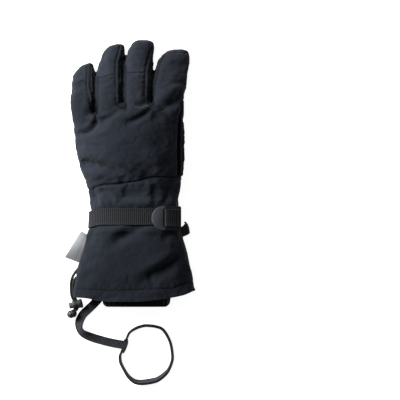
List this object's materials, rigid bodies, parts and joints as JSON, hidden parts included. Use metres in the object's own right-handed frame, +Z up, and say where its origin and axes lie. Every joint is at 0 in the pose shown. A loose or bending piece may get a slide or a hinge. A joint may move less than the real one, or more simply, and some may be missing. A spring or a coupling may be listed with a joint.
{
  "type": "ski glove",
  "caption": "Padded gauntlet ski glove for the left hand, with a webbing wrist strap and ladder buckle, a hem drawcord with a cord lock, and a loop leash.",
  "frame": {"origin": "on the surface that the glove lies on, under the middle of the glove without its loose cords", "axes": "+Y from the hem to the fingertips, +X from the little finger to the index finger, +Z up out of the back of the hand as the glove lies palm down"},
  "size_m": [0.1438, 0.3808, 0.0694],
  "materials": {
    "softshell": "matte finely textured woven shell cloth",
    "side_cloth": "matte stretch cloth",
    "palm_leather": "matte grained synthetic leather",
    "cuff_lining": "matte knitted cloth",
    "webbing": "ribbed polyester webbing",
    "black_plastic": "satin moulded plastic",
    "grey_plastic": "satin moulded plastic",
    "silver_label": "silvery coated woven label, bare",
    "cord_cloth": "ribbed woven tape and braided cord"
  },
  "bodies": {
    "glove": {"back_panel": "softshell", "fingertip_little": "softshell", "fingertip_ring": "softshell", "fingertip_middle": "softshell", "fingertip_index": "softshell", "gauntlet_back": "softshell", "hem_band": "softshell", "fourchette_little_ring": "side_cloth", "fourchette_ring_middle": "side_cloth", "fourchette_middle_index": "side_cloth", "side_gusset": "side_cloth", "palm_panel": "palm_leather", "finger_front_little": "palm_leather", "finger_front_ring": "palm_leather", "finger_front_middle": "palm_leather", "finger_front_index": "palm_leather", "thumb_shell": "palm_leather", "gauntlet_palm": "palm_leather", "inner_cuff": "cuff_lining", "wrist_strap": "webbing", "buckle_loop": "webbing", "buckle_frame": "black_plastic", "clip_base": "black_plastic", "cord_lock": "black_plastic", "cord_end": "black_plastic", "clip_leaf": "grey_plastic", "side_label": "silver_label", "drawcord_upper": "cord_cloth", "drawcord_lower": "cord_cloth", "leash_strap": "cord_cloth", "leash_join": "cord_cloth", "leash_loop": "cord_cloth"},
    "lock_button": {"cord_lock_button": "grey_plastic"}
  },
  "joints": [
    {"name": "cord_lock_press", "type": "slide", "parent": "glove", "child": "lock_button", "axis": [-0.9744, -0.225, 0], "range_m": [-0.0025, 0], "stiffness_N_per_m": 400}
  ]
}
